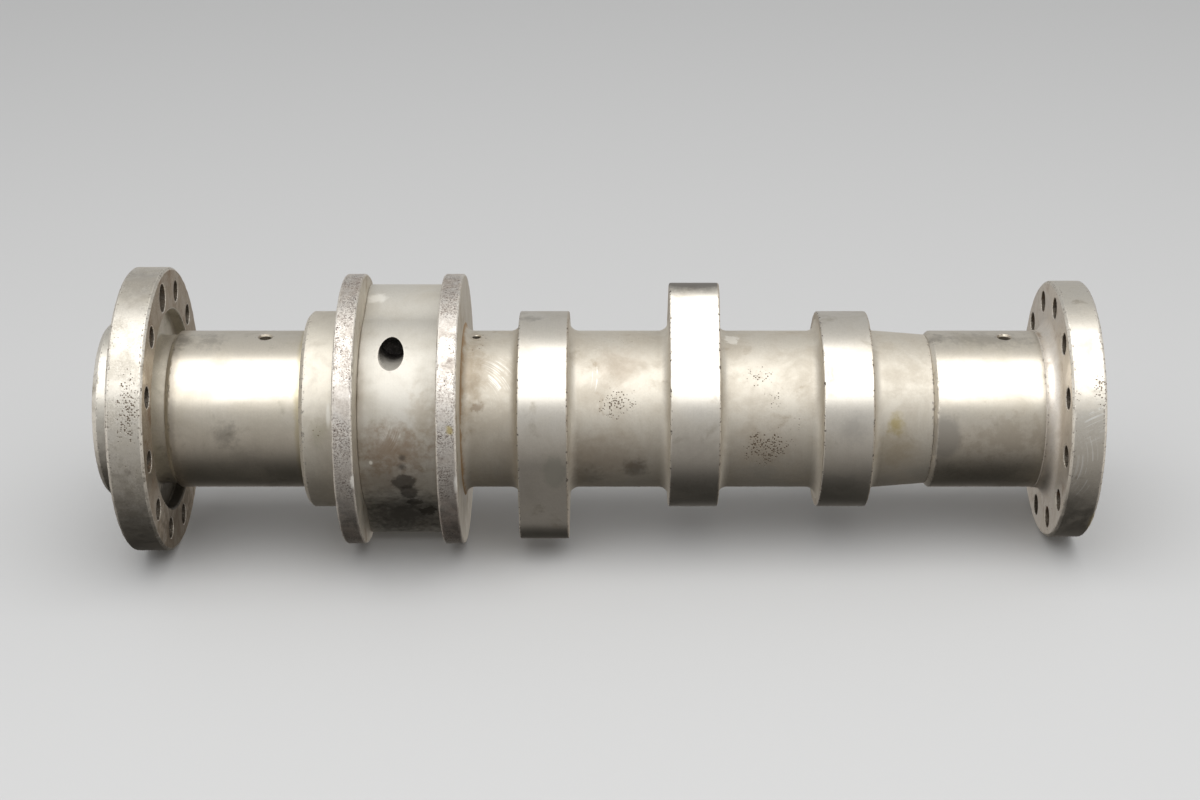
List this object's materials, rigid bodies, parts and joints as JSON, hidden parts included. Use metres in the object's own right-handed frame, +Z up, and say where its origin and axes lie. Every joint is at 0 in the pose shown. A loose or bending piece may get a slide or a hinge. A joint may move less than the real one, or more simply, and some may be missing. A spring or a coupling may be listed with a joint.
{
  "type": "camshaft section",
  "caption": "Flanged one-cylinder camshaft section with a wide fuel cam between cheek discs, narrow valve cams and a ground bearing journal at each end.",
  "frame": {"origin": "on the shaft's axis, at the mating face of the left coupling flange", "axes": "+X along the shaft towards the right flange, +Z up in line with the oil holes, +Y to the back"},
  "size_m": [0.4953, 0.145, 0.145],
  "materials": {
    "forged_steel": "satin, ground cam tracks",
    "fuel_cam_steel": "satin, oil stained",
    "cheek_steel": "turned, pitted rim",
    "collar_steel": "satin",
    "journal_steel": "ground journal, turned flange",
    "ring_steel": "turned",
    "bush_steel": "ground",
    "key_steel": "ground",
    "plug_steel": "blackened",
    "washer_copper": "annealed copper"
  },
  "bodies": {
    "root": {"cam_body": "forged_steel", "fuel_cam": "fuel_cam_steel", "left_cheek": "cheek_steel", "right_cheek": "cheek_steel", "spacer_collar": "collar_steel", "left_flange_journal": "journal_steel", "right_flange_journal": "journal_steel", "centring_ring": "ring_steel", "locating_bush": "bush_steel", "fuel_cam_key": "key_steel", "left_journal_key": "key_steel", "right_journal_key": "key_steel", "left_gallery_plug": "plug_steel", "right_gallery_plug": "plug_steel", "left_plug_washer": "washer_copper", "right_plug_washer": "washer_copper"}
  },
  "joints": []
}
